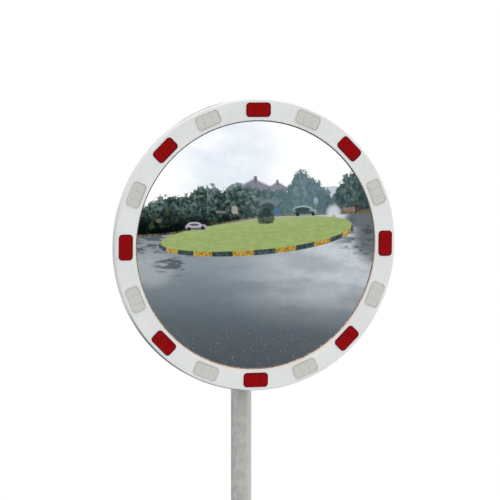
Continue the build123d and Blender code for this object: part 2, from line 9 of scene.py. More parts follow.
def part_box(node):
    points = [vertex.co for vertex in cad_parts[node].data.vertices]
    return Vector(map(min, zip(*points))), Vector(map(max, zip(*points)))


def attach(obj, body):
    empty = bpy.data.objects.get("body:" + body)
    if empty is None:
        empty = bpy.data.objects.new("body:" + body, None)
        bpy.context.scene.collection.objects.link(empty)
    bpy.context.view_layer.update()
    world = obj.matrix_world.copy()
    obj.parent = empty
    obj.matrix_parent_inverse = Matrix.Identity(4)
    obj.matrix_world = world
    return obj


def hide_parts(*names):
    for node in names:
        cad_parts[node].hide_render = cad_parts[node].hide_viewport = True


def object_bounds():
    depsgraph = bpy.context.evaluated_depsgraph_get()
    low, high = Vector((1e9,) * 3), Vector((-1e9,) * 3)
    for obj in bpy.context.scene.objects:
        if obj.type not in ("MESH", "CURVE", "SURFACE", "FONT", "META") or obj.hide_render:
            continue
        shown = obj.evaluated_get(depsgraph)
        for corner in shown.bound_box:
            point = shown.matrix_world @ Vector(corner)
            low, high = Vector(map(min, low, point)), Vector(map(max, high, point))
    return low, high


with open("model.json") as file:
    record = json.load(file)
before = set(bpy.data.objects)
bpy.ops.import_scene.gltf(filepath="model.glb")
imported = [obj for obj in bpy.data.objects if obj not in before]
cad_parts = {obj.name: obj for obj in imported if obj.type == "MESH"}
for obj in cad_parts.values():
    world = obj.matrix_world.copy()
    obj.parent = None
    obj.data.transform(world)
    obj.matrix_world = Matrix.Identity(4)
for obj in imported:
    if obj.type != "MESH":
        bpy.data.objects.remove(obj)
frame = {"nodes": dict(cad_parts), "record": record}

# Looks for a convex mirror on a post: materials, the mirror's optical surface, the prisms of
# its reflectors, weld beads and seals. Metres, in the CAD model's frame.

scene = bpy.context.scene
nodes = frame["nodes"]
cad_low, cad_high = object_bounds()

# ---------------------------------------------------------------- the head's own frame

HEAD_TILT = radians(2.0)
RING_DEPTH = 0.025
BEZEL_HEIGHT = 0.0006

RIGHT = Vector((1, 0, 0))
FORWARD = Vector((0, -cos(HEAD_TILT), -sin(HEAD_TILT)))
UPWARD = Vector((0, -sin(HEAD_TILT), cos(HEAD_TILT)))
ring_low, ring_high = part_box("front_frame")
face_centre = (ring_low + ring_high) / 2 + FORWARD * (RING_DEPTH - BEZEL_HEIGHT) / 2


def frame_matrix(origin, across, up, out):
    """A matrix whose x, y and z axes are the three given directions."""
    matrix = Matrix((across, up, out)).transposed().to_4x4()
    matrix.translation = origin
    return matrix


HEAD = frame_matrix(face_centre, RIGHT, UPWARD, FORWARD)

# ---------------------------------------------------------------- shader helpers


class Shader:
    """Short calls for making and joining the nodes of one tree."""

    def __init__(self, tree):
        self.tree = tree
        tree.nodes.clear()

    def plug(self, socket, value):
        if isinstance(value, bpy.types.NodeSocket):
            self.tree.links.new(value, socket)
        elif socket.type == "RGBA":
            socket.default_value = (*value[:3], 1.0)
        else:
            socket.default_value = value

    def add(self, kind, inputs=None, **settings):
        node = self.tree.nodes.new("ShaderNode" + kind)
        for key, value in settings.items():
            setattr(node, key, value)
        for key, value in (inputs or {}).items():
            self.plug(node.inputs[key], value)
        return node

    def math(self, operation, *values, clamp=False):
        node = self.add("Math", operation=operation, use_clamp=clamp)
        for socket, value in zip(node.inputs, values):
            self.plug(socket, value)
        return node.outputs[0]

    def mix(self, factor, first, second, blend="MIX"):
        node = self.add("Mix", data_type="RGBA", blend_type=blend)
        self.plug(node.inputs[0], factor)
        self.plug(node.inputs[6], first)
        self.plug(node.inputs[7], second)
        return node.outputs[2]

    def span(self, value, low, high, to_low=0.0, to_high=1.0):
        """Maps low..high to to_low..to_high with a smooth start and end."""
        node = self.add("MapRange", interpolation_type="SMOOTHSTEP")
        for key, number in zip(("Value", "From Min", "From Max", "To Min", "To Max"),
                               (value, low, high, to_low, to_high)):
            self.plug(node.inputs[key], number)
        return node.outputs["Result"]

    def ramp(self, value, *stops):
        """A colour ramp from (position, colour) pairs."""
        node = self.add("ValToRGB", {"Fac": value})
        elements = node.color_ramp.elements
        for _ in stops[2:]:
            elements.new(0.5)
        for element, (position, colour) in zip(elements, stops):
            element.position = position
            element.color = (*colour, 1.0)
        return node.outputs["Color"]

    def noise(self, vector, scale, detail=3.0, roughness=0.5, output="Fac"):
        node = self.add("TexNoise", {"Vector": vector, "Scale": scale, "Detail": detail,
                                     "Roughness": roughness})
        return node.outputs[output]

    def stretch(self, vector, x=1.0, y=1.0, z=1.0):
        return self.add("Mapping", {"Vector": vector, "Scale": (x, y, z)}).outputs[0]

    def bump(self, height, strength, distance, rounding=0.0):
        """A bump, over edges softened by a radius."""
        inputs = {"Height": height, "Strength": strength, "Distance": distance}
        if rounding:
            inputs["Normal"] = self.add("Bevel", {"Radius": rounding}, samples=6).outputs[0]
        return self.add("Bump", inputs).outputs[0]


def srgb(red, green, blue):
    """A linear colour from display values of 0 to 255."""
    def linear(value):
        value /= 255
        return value / 12.92 if value <= 0.04045 else ((value + 0.055) / 1.055) ** 2.4
    return tuple(linear(value) for value in (red, green, blue))


def material(name, build):
    """A node material: build(shader, point, principled) joins the rest of its tree."""
    made = bpy.data.materials.new(name)
    made.use_nodes = True
    shader = Shader(made.node_tree)
    point = shader.add("TexCoord").outputs["Object"]
    surface = shader.add("BsdfPrincipled")
    output = shader.add("OutputMaterial")
    build(shader, point, surface)
    shader.tree.links.new(surface.outputs[0], output.inputs["Surface"])
    return made


def settings(shader, surface, **values):
    """Plugs values into the surface's sockets: base_color becomes Base Color."""
    for key, value in values.items():
        name = " ".join(word if word == "of" else word.capitalize() for word in key.split("_"))
        shader.plug(surface.inputs[name.replace("Ior", "IOR")], value)


# ---------------------------------------------------------------- materials

EDGE_ROUNDING = 0.0006
LIP_TOP = 0.3052
# The painted highlight on the inner lip is this wide
LIP_HIGHLIGHT_WIDTH = 0.0025
# The painted shade on the ring's rim starts this far behind its face and runs to its rear edge: the first
# distance up to SIDE_RISE above or below the axis, the second from TOP_RISE on
SIDE_SHADE = 0.021
TOP_SHADE = 0.008
SIDE_RISE = 0.1
TOP_RISE = 0.31
# The painted shade under the rim starts this far in from its edge and is full after the width. It is full
# and gone so far below the axis, and fades out between the two places across
UNDER_INSET = 0.0026
UNDER_WIDTH = 0.0012
UNDER_FULL = -0.24
UNDER_NONE = -0.12
UNDER_LEFT = -0.045
UNDER_RIGHT = -0.005
UNDER_RADIUS = (ring_high.x - ring_low.x) / 2 - UNDER_INSET


def head_place(shader, point):
    """(height in front of the ring's face, distance from the head's axis) of a point."""
    offset = shader.add("VectorMath", {0: point, 1: face_centre}, operation="SUBTRACT").outputs[0]
    ahead = shader.add("VectorMath", {0: offset, 1: FORWARD}, operation="DOT_PRODUCT").outputs["Value"]
    length = shader.add("VectorMath", {0: offset}, operation="LENGTH").outputs["Value"]
    squares = (shader.math("POWER", length, 2.0), shader.math("POWER", ahead, 2.0))
    return ahead, shader.math("SQRT", shader.math("SUBTRACT", *squares))


def low_down(shader, point, reach=0.25):
    """1 at the foot of the head and 0 at its top."""
    height = shader.add("SeparateXYZ", {"Vector": point}).outputs["Z"]
    return shader.span(height, face_centre.z - reach, face_centre.z + reach, 1.0, 0.0)


def white_plastic(shader, point, surface):
    """Moulded white ring: mottling, rain streaks, a painted highlight on the lower lip and painted shade
    along the rear edge and underneath.
    """
    ahead, radius = head_place(shader, point)
    low = low_down(shader, point)
    mottle = shader.noise(point, 9.0, 4.0)
    streak = shader.noise(shader.stretch(point, 70, 70, 4), 1.0, 3.0)
    speck = shader.span(shader.noise(point, 420.0, 2.0), 0.66, 0.74)
    cloud = shader.noise(point, 22.0, 3.0)
    colour = shader.mix(shader.span(mottle, 0.3, 0.7), (0.715, 0.73, 0.722), (0.755, 0.768, 0.76))
    colour = shader.mix(shader.span(streak, 0.52, 0.75, 0.0, 0.12), colour, (0.56, 0.56, 0.53))
    colour = shader.mix(shader.math("MULTIPLY", speck, 0.3), colour, (0.42, 0.41, 0.37))
    # Painted highlight: the lower half of the inner lip, which faces up to the light, turns cream
    lip = shader.math("MULTIPLY", shader.span(radius, LIP_TOP - LIP_HIGHLIGHT_WIDTH, LIP_TOP, 1.0, 0.0), low)
    lip = shader.math("MULTIPLY", lip, shader.span(cloud, 0.2, 0.6, 0.6, 0.95))
    colour = shader.mix(lip, colour, srgb(232, 216, 202))
    axes = shader.add("SeparateXYZ", {"Vector": point}).outputs
    rise = shader.math("SUBTRACT", axes["Z"], face_centre.z)
    # Painted shade: blue-grey on the rim's underside, low down and on the left
    under = shader.math("MULTIPLY", shader.span(rise, UNDER_FULL, UNDER_NONE, 1.0, 0.0),
                        shader.span(axes["X"], UNDER_LEFT, UNDER_RIGHT, 1.0, 0.0))
    under = shader.math("MULTIPLY", under, shader.span(radius, UNDER_RADIUS, UNDER_RADIUS + UNDER_WIDTH))
    colour = shader.mix(under, colour, srgb(112, 120, 132))
    # Painted shade: grey over the rear of the rim, reaching further forward at top and bottom, broken up by
    # noise
    rise = shader.math("ABSOLUTE", rise)
    reach = shader.span(rise, SIDE_RISE, TOP_RISE, SIDE_SHADE, TOP_SHADE)
    rear = shader.span(shader.math("ADD", ahead, reach), -0.004, 0.0, 1.0, 0.0)
    rear = shader.math("MULTIPLY", rear, shader.span(shader.noise(point, 4.5, 2.0), 0.42, 0.56, 0.15, 0.9))
    colour = shader.mix(rear, colour, srgb(104, 106, 106))
    peel = shader.noise(point, 900.0, 2.0)
    settings(shader, surface, base_color=colour, roughness=shader.span(mottle, 0.25, 0.75, 0.3, 0.46),
             coat_weight=0.1, coat_roughness=0.2, normal=shader.bump(peel, 0.05, 0.0002))


def mirror_surface(shader, point, surface):
    """Metallised acrylic: near perfect, with a trace of dust and slow ripples."""
    dust = shader.noise(point, 35.0, 5.0)
    ripple = shader.noise(point, 7.0, 1.0)
    colour = shader.mix(shader.span(dust, 0.4, 0.8), (0.94, 0.955, 0.95), (0.9, 0.915, 0.91))
    settings(shader, surface, base_color=colour, metallic=1.0,
             roughness=shader.span(dust, 0.45, 0.8, 0.006, 0.022),
             normal=shader.bump(ripple, 0.02, 0.0015))


def seal_pale_below(shader, point, surface):
    """The sealing bead round the mirror: dark grey, turning pale brown towards the bottom."""
    grit = shader.noise(point, 160.0, 4.0)
    lower_colour = shader.mix(shader.span(grit, 0.35, 0.7), srgb(120, 98, 82), srgb(186, 168, 150))
    # Dark grey above, pale brown towards the bottom of the bead
    colour = shader.mix(low_down(shader, point, 0.2), srgb(66, 68, 70), lower_colour)
    settings(shader, surface, base_color=colour, roughness=0.85, specular_ior_level=0.2,
             normal=shader.bump(grit, 0.4, 0.0004))


def reflector(light, deep, gloss):
    """Moulded prismatic plastic: a slight tone per cell, grime in patches, a clear gloss."""
    def build(shader, point, surface):
        cells = shader.add("TexVoronoi", {"Vector": point, "Scale": 330.0})
        tone = shader.add("SeparateColor", {"Color": cells.outputs["Color"]}).outputs[0]
        grime = shader.noise(point, 24.0, 4.0)
        colour = shader.mix(shader.math("MULTIPLY", tone, 0.35), light, deep)
        colour = shader.mix(shader.span(grime, 0.5, 0.8, 0.0, 0.3), colour, deep)
        settings(shader, surface, base_color=colour, roughness=shader.span(grime, 0.3, 0.7, 0.16, 0.3),
                 specular_ior_level=gloss, coat_weight=gloss / 4, coat_roughness=0.06)
    return build


def grained_plastic(low, high, grain=1300.0, roughness=0.5):
    """Moulded plastic with a fine eroded grain, a dusty bloom and softened edges."""
    def build(shader, point, surface):
        cloud = shader.noise(point, 6.0, 4.0)
        dust = shader.span(shader.noise(shader.stretch(point, 50, 50, 5), 1.0, 3.0), 0.5, 0.8)
        colour = shader.mix(shader.span(cloud, 0.3, 0.7), low, high)
        colour = shader.mix(shader.math("MULTIPLY", dust, 0.3), colour, [0.8 * value for value in low])
        texture = shader.noise(point, grain, 3.0, 0.6)
        settings(shader, surface, base_color=colour,
                 roughness=shader.span(cloud, 0.3, 0.7, roughness - 0.06, roughness + 0.08),
                 normal=shader.bump(texture, 0.22, 0.0003, EDGE_ROUNDING))
    return build


CRYSTAL_WARP = 0.0022


def galvanised(shader, point, surface):
    """Hot-dip zinc gone dull: faint crystals, a warm oxide bloom and thin run-off streaks."""
    frost = shader.noise(point, 260.0, 2.0, output="Color")
    warped = shader.add("VectorMath", {0: frost, 1: (CRYSTAL_WARP,) * 3, 2: point},
                        operation="MULTIPLY_ADD").outputs[0]
    crystal = shader.add("TexVoronoi", {"Vector": shader.stretch(warped, 1, 1, 0.7), "Scale": 150.0})
    tone = shader.add("SeparateColor", {"Color": crystal.outputs["Color"]}).outputs[0]
    bloom = shader.noise(shader.stretch(point, 1, 1, 0.35), 16.0, 5.0, 0.6)
    streak = shader.noise(shader.stretch(point, 130, 130, 3), 1.0, 3.0)
    colour = shader.mix(tone, (0.785, 0.768, 0.715), (0.868, 0.847, 0.788))
    colour = shader.mix(shader.span(bloom, 0.3, 0.8, 0.0, 0.3), colour, (0.87, 0.845, 0.78))
    colour = shader.mix(shader.span(streak, 0.5, 0.8, 0.0, 0.24), colour, (0.54, 0.525, 0.475))
    grit = shader.noise(point, 700.0, 3.0)
    settings(shader, surface, base_color=colour, metallic=0.8,
             roughness=shader.span(tone, 0.0, 1.0, 0.36, 0.56),
             normal=shader.bump(grit, 0.12, 0.0003, EDGE_ROUNDING))


def zinc_plate(shader, point, surface):
    """Bright zinc on fasteners: faint straw and blue tints, tool scuffs, dull patches."""
    tint = shader.noise(point, 90.0, 3.0)
    scuff = shader.noise(shader.stretch(point, 900, 900, 120), 1.0, 2.0)
    dull = shader.noise(point, 260.0, 4.0)
    colour = shader.mix(shader.span(tint, 0.35, 0.65), (0.56, 0.58, 0.6), (0.63, 0.59, 0.5))
    colour = shader.mix(shader.span(dull, 0.55, 0.75, 0.0, 0.5), colour, (0.38, 0.37, 0.35))
    settings(shader, surface, base_color=colour, metallic=0.9,
             roughness=shader.span(dull, 0.3, 0.75, 0.24, 0.5),
             normal=shader.bump(scuff, 0.15, 0.0002, EDGE_ROUNDING / 2))


def weld_metal(shader, point, surface):
    """A weld bead under zinc: a little darker than the plate, pitted and heat-dulled."""
    pits = shader.noise(point, 480.0, 4.0, 0.6)
    cloud = shader.noise(point, 60.0, 3.0)
    colour = shader.mix(shader.span(cloud, 0.3, 0.7), (0.36, 0.355, 0.33), (0.5, 0.495, 0.46))
    settings(shader, surface, base_color=colour, metallic=0.5,
             roughness=shader.span(pits, 0.3, 0.7, 0.38, 0.6), normal=shader.bump(pits, 0.35, 0.0004))


def rubber(shader, point, surface):
    """Black rubber with a chalky bloom and a fine matt skin."""
    bloom = shader.noise(point, 60.0, 4.0)
    skin = shader.noise(point, 1100.0, 3.0)
    colour = shader.mix(shader.span(bloom, 0.4, 0.8), (0.018, 0.018, 0.019), (0.06, 0.06, 0.058))
    settings(shader, surface, base_color=colour, roughness=shader.span(bloom, 0.3, 0.8, 0.6, 0.82),
             normal=shader.bump(skin, 0.25, 0.0002))


RED_FACE = material("red_reflector_face", reflector(srgb(177, 0, 1), srgb(149, 0, 1), 0.02))
PALE_FACE = material("white_reflector_face", reflector(srgb(220, 221, 215), srgb(204, 205, 199), 0.4))
WELD = material("weld_steel", weld_metal)
MIRROR = material("mirror_acrylic", mirror_surface)
SEAL = material("seal_pale_below", seal_pale_below)

SLOT_MATERIALS = {
    "frame_white": material("frame_white", white_plastic),
    "mirror_acrylic": MIRROR,
    "red_reflector": material("red_reflector", reflector(srgb(112, 12, 20), srgb(90, 8, 14), 0.1)),
    "white_reflector": material("white_reflector", reflector(srgb(190, 188, 182), srgb(172, 170, 164), 0.4)),
    "black_rubber": material("black_rubber", rubber),
    "shell_grey": material("shell_grey", grained_plastic((0.28, 0.287, 0.29), (0.36, 0.368, 0.37))),
    "zinc_fastener": material("zinc_fastener", zinc_plate),
    "galvanised_steel": material("galvanised_steel", galvanised),
    "weld_steel": WELD,
    "nylon": material("nylon", grained_plastic((0.05, 0.05, 0.05), (0.09, 0.09, 0.088), 900.0)),
    "cap_plastic": material("cap_plastic", grained_plastic((0.035, 0.036, 0.038), (0.07, 0.07, 0.072))),
}

for subpart in frame["record"]["subparts"]:
    node = nodes[subpart["node"]]
    node.data.materials.clear()
    node.data.materials.append(SLOT_MATERIALS[subpart["material_slot"]])

# ---------------------------------------------------------------- mesh helpers


def piece(name, mesh, look, body, crease=35.0):
    """Finishes a mesh as a piece that rides on a body, smooth up to a crease angle in degrees."""
    made = bpy.data.meshes.new(name)
    bmesh.ops.recalc_face_normals(mesh, faces=mesh.faces)
    mesh.to_mesh(made)
    mesh.free()
    made.shade_smooth()
    made.set_sharp_from_angle(angle=radians(crease))
    made.materials.append(look)
    shown = bpy.data.objects.new(name, made)
    scene.collection.objects.link(shown)
    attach(shown, body)
    return shown


def lathe(profile, matrix, steps):
    """A bmesh of a closed (radius, height) profile turned about the matrix's z axis."""
    mesh = bmesh.new()
    rings = []
    for radius, height in profile:
        if radius < 1e-7:
            rings.append([mesh.verts.new(matrix @ Vector((0, 0, height)))] * steps)
            continue
        turns = (2 * pi * step / steps for step in range(steps))
        rings.append([mesh.verts.new(matrix @ Vector((radius * cos(turn), radius * sin(turn), height)))
                      for turn in turns])
    for first, second in zip(rings, rings[1:] + rings[:1]):
        for step in range(steps):
            after = (step + 1) % steps
            corners = (first[step], first[after], second[after], second[step])
            corners = tuple(dict.fromkeys(corners))
            if len(corners) > 2:
                mesh.faces.new(corners)
    return mesh


# ---------------------------------------------------------------- mirror with its optical surface

DOME_RADIUS = 1.2
DOME_EDGE = 0.298
MIRROR_THICKNESS = 0.003
MIRROR_RADIUS = 0.3155
LIP_DEPTH = 0.003
# The back of the dome ends a little further in than its front
BACK_INSET = 0.0004
DOME_RINGS = 110
TURN_STEPS = 320


def cap_points(radius, edge, edge_height, count):
    """Points of a spherical cap from its apex to its edge."""
    centre = edge_height - sqrt(radius**2 - edge**2)
    distances = (edge * step / count for step in range(count + 1))
    return [(distance, centre + sqrt(radius**2 - distance**2)) for distance in distances]


inner_radius = DOME_RADIUS - MIRROR_THICKNESS
outer_cap = cap_points(DOME_RADIUS, DOME_EDGE, -LIP_DEPTH, DOME_RINGS)
inner_cap = cap_points(inner_radius, DOME_EDGE - BACK_INSET, -LIP_DEPTH - MIRROR_THICKNESS,
                       DOME_RINGS // 4)
profile = outer_cap + [(MIRROR_RADIUS, -LIP_DEPTH), (MIRROR_RADIUS, -LIP_DEPTH - MIRROR_THICKNESS)]
profile += inner_cap[::-1]
dome = lathe(profile, HEAD, TURN_STEPS)
mirror = piece("mirror_optic", dome, MIRROR, "head", crease=6.0)
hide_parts("mirror_dome")

# ---------------------------------------------------------------- sealing bead round the mirror

LIP_RADIUS = 0.3005
SEAL_GAP = 0.0001
SEAL_RISE = 0.0013
SEAL_STEPS = 8
seal_middle = (DOME_EDGE + LIP_RADIUS) / 2
seal_half = (LIP_RADIUS - DOME_EDGE) / 2 - SEAL_GAP
seal_turns = [pi * step / SEAL_STEPS for step in range(SEAL_STEPS + 1)]
seal = [(seal_middle + seal_half * cos(turn), -LIP_DEPTH + SEAL_RISE * sin(turn)) for turn in seal_turns]
piece("edge_seal", lathe(seal, HEAD, TURN_STEPS), SEAL, "head")

# ---------------------------------------------------------------- prisms on the reflectors

REFLECTOR_COUNT = 16
REFLECTOR_RING = 0.326
REFLECTOR_HEIGHT = 0.035
REFLECTOR_WIDTH = 0.062
REFLECTOR_CORNER = 0.009
BORDER = 0.0016
DIVIDER = 0.0008
RECESS = 0.0006
PRISM_HEIGHT = 0.00034
COLUMNS = 3
CELLS_ACROSS = 7
CELLS_UP = 12


def inside_corners(x, y, half_x, half_y, corner):
    """True where a point lies inside a rectangle with rounded corners."""
    over_x = max(abs(x) - (half_x - corner), 0)
    over_y = max(abs(y) - (half_y - corner), 0)
    return over_x**2 + over_y**2 <= corner**2


def prism_field(matrix):
    """Rows of low four-sided prisms that fill a reflector's three recessed columns."""
    half_up = REFLECTOR_HEIGHT / 2 - BORDER
    half_across = REFLECTOR_WIDTH / 2 - BORDER
    corner = REFLECTOR_CORNER - BORDER
    pitch = REFLECTOR_WIDTH / COLUMNS
    mesh = bmesh.new()
    for column in range(COLUMNS):
        left = max(-half_across, (column - COLUMNS / 2) * pitch + DIVIDER / 2)
        right = min(half_across, (column + 1 - COLUMNS / 2) * pitch - DIVIDER / 2)
        step_y = (right - left) / CELLS_ACROSS
        step_x = 2 * half_up / CELLS_UP
        for row in range(CELLS_UP):
            for cell in range(CELLS_ACROSS):
                x = -half_up + (row + 0.5) * step_x
                y = left + (cell + 0.5) * step_y
                corners = [(x + i * step_x / 2, y + j * step_y / 2)
                           for i, j in ((-1, -1), (1, -1), (1, 1), (-1, 1))]
                if not all(inside_corners(*spot, half_up, half_across, corner) for spot in corners):
                    continue
                base = [mesh.verts.new(matrix @ Vector((*spot, 0))) for spot in corners]
                tip = mesh.verts.new(matrix @ Vector((x, y, PRISM_HEIGHT)))
                for first, second in zip(base, base[1:] + base[:1]):
                    mesh.faces.new((first, second, tip))
                mesh.faces.new(base[::-1])
    return mesh


for index in range(REFLECTOR_COUNT):
    colour, look = (("red", RED_FACE), ("white", PALE_FACE))[index % 2]
    angle = radians(90 - index * 360 / REFLECTOR_COUNT)
    outwards = RIGHT * cos(angle) + UPWARD * sin(angle)
    middle = face_centre + outwards * REFLECTOR_RING + FORWARD * RECESS
    matrix = frame_matrix(middle, outwards, FORWARD.cross(outwards), FORWARD)
    piece(f"{colour}_prisms_{index // 2 + 1}", prism_field(matrix), look, "head")

# ---------------------------------------------------------------- weld beads

BEAD_SIDES = 10
RIPPLE_PITCH = 0.0035
BEAD_STEP = 0.0007


def weld_bead(mesh, path, radius, closed=False):
    """Adds a rippled round bead along a path of points to a bmesh."""
    rings = []
    travel = 0.0
    count = len(path)
    for step, spot in enumerate(path):
        ahead = path[(step + 1) % count] if closed else path[min(step + 1, count - 1)]
        behind = path[step - 1] if closed else path[max(step - 1, 0)]
        along = (ahead - behind).normalized()
        side = along.orthogonal().normalized()
        up = along.cross(side)
        taper = 1.0 if closed else min(1.0, 0.35 + 0.25 * min(step, count - 1 - step))
        size = radius * taper * (0.9 + 0.1 * abs(cos(pi * travel / RIPPLE_PITCH)))
        turns = [2 * pi * turn / BEAD_SIDES for turn in range(BEAD_SIDES)]
        rings.append([mesh.verts.new(spot + (side * cos(turn) + up * sin(turn)) * size)
                      for turn in turns])
        travel += (ahead - spot).length
    pairs = list(zip(rings, rings[1:] + rings[:1]))
    for first, second in pairs if closed else pairs[:-1]:
        # The ring that starts nearest keeps the faces from twisting
        shift = min(range(BEAD_SIDES), key=lambda turn: (second[turn].co - first[0].co).length)
        for turn in range(BEAD_SIDES):
            after = (turn + 1) % BEAD_SIDES
            mesh.faces.new((first[turn], first[after], second[(after + shift) % BEAD_SIDES],
                            second[(turn + shift) % BEAD_SIDES]))
    if not closed:
        mesh.faces.new(rings[0][::-1])
        mesh.faces.new(rings[-1])


def straight(start, end):
    """Closely spaced points from start to end."""
    count = max(2, round((end - start).length / BEAD_STEP))
    return [start.lerp(end, step / count) for step in range(count + 1)]


plate_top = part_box("base_plate")[1].z
tube_low, tube_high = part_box("post_tube")
post_radius = (tube_high.x - tube_low.x) / 2

FOOT_BEAD = 0.0034
# The bead's middle stands this far off the tube and the plate
FOOT_STANDOFF = 0.0012
foot_weld = bmesh.new()
foot_steps = round(2 * pi * post_radius / BEAD_STEP)
foot_reach = post_radius + FOOT_STANDOFF
foot_path = []
for step in range(foot_steps):
    turn = 2 * pi * step / foot_steps
    foot_path.append(Vector((foot_reach * cos(turn), foot_reach * sin(turn), plate_top + FOOT_STANDOFF)))
weld_bead(foot_weld, foot_path, FOOT_BEAD, closed=True)
foot = piece("foot_weld", foot_weld, WELD, "post")
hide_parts("post_weld")

GUSSET_SNIPE = 0.008
GUSSET_BEAD = 0.0022
# The beads stop this far short of a gusset's toe and its top
TOE_INSET = 0.001
TOP_INSET = 0.002
gusset_low, gusset_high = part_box("base_gusset_1")
gusset_half = (gusset_high.y - gusset_low.y) / 2
gusset_weld = bmesh.new()
for quarter in range(4):
    turn = Matrix.Rotation(quarter * pi / 2, 3, "Z")
    for side in (-gusset_half, gusset_half):
        toe = turn @ Vector((gusset_high.x - TOE_INSET, side, plate_top))
        heel = turn @ Vector((post_radius + GUSSET_SNIPE, side, plate_top))
        weld_bead(gusset_weld, straight(heel, toe), GUSSET_BEAD)
        surface = sqrt(post_radius**2 - side**2)
        bottom = turn @ Vector((surface, side, plate_top + GUSSET_SNIPE))
        top = turn @ Vector((surface, side, gusset_high.z - TOP_INSET))
        weld_bead(gusset_weld, straight(bottom, top), GUSSET_BEAD)
piece("gusset_welds", gusset_weld, WELD, "post")

LUG_BEAD = 0.002
LUG_ROOT_HALF = 0.032
LUG_HALF_WIDTH = 0.0235
clamp_low, clamp_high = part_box("clamp_front")
pivot_height = (clamp_low.z + clamp_high.z) / 2
lug_weld = bmesh.new()
for height in (pivot_height - LUG_ROOT_HALF, pivot_height + LUG_ROOT_HALF):
    ends = [Vector((x, clamp_low.y, height)) for x in (-LUG_HALF_WIDTH, LUG_HALF_WIDTH)]
    weld_bead(lug_weld, straight(*ends), LUG_BEAD)
piece("lug_welds", lug_weld, WELD, "clamp")

# ---------------------------------------------------------------- world

# The height of the trees, in degrees, at angles to the right of straight ahead
SKYLINE = ((-30, 5.5), (-14, 2.8), (-9, 4.2), (-5.5, 6.2), (-2, 5.6), (2, 7.4), (6, 6.6), (12, 7.4),
           (19, 6.6), (24, 6.6), (26, 9.4), (29, 10.6), (33, 7.2), (36, 4.2), (39, 7.6), (43, 9.8),
           (60, 7.5))
SKYLINE_TOP = 12.0
# What else is seen, in degrees: (to the right, above, half width, half height, squareness, colour)
HOUSES = (
    (15.5, 6.4, 6.0, 2.7, 1, (136, 134, 150)), (16.0, 8.9, 0.4, 0.8, 8, (120, 112, 124)),
    (21.6, 6.3, 3.4, 1.9, 1, (140, 140, 154)), (21.7, 8.0, 0.3, 0.6, 8, (118, 116, 128)),
    (35.8, 3.4, 2.4, 3.0, 8, (204, 209, 219)),
)
WALLS = (
    (10.4, 1.8, 0.8, 1.0, 4, (176, 172, 156)), (6.8, 1.4, 1.3, 0.3, 4, (128, 124, 118)),
    (-8.6, -0.6, 0.7, 0.5, 2, (112, 108, 88)), (41.2, 1.1, 2.4, 0.5, 3, (152, 126, 106)),
    (46.4, 0.5, 3.0, 0.45, 3, (116, 96, 76)), (43.0, 1.2, 0.5, 0.9, 2, (40, 46, 50)),
)
CARS = (
    (0.6, -2.2, 2.6, 0.65, 4, (172, 166, 178)), (0.2, -1.6, 1.7, 0.6, 2, (204, 198, 206)),
    (0.2, -1.65, 1.25, 0.32, 2, (80, 80, 92)), (0.6, -2.65, 2.5, 0.25, 4, (96, 94, 102)),
    (-1.1, -2.7, 0.45, 0.45, 2, (30, 30, 36)), (2.3, -2.4, 0.45, 0.45, 2, (30, 30, 36)),
    (28.0, 1.45, 2.6, 0.95, 2, (158, 176, 172)), (28.7, 0.85, 3.1, 0.65, 4, (148, 164, 162)),
    (27.9, 1.4, 2.1, 0.6, 2, (52, 68, 68)), (28.3, 0.7, 2.7, 0.35, 4, (66, 80, 84)),
    (26.6, 0.35, 0.45, 0.45, 2, (28, 36, 40)), (30.8, 0.35, 0.45, 0.45, 2, (28, 36, 40)),
    (31.6, 3.3, 0.6, 0.85, 2, (150, 172, 184)), (31.6, 1.4, 0.14, 1.8, 8, (116, 134, 138)),
    (21.1, 1.1, 0.5, 0.8, 4, (72, 118, 156)),
)
GLARE = ((36.4, 0.6, 1.9, 1.6, 2, (214, 218, 226)), (36.4, -0.4, 0.55, 0.5, 2, (186, 160, 162)))
BUSH = (
    (19.0, 3.1, 2.3, 1.15, 2, (118, 130, 138)), (18.8, 2.3, 1.9, 0.95, 2, (62, 76, 78)),
    (18.4, 1.1, 1.3, 0.9, 2, (46, 60, 58)), (18.3, -0.4, 2.2, 1.25, 3, (48, 62, 58)),
)


# The lawn and its kerb, in degrees: the middle, the slope and the kerb's half width
LAWN_ACROSS = 16.7
LAWN_ABOVE = -4.4
LAWN_SLOPE = 0.076
KERB_HALF_WIDTH = 25.2
# How far, in degrees, a ragged edge wanders from one side to the other
RAGGED_ACROSS = 0.9
RAGGED_ABOVE = 0.7


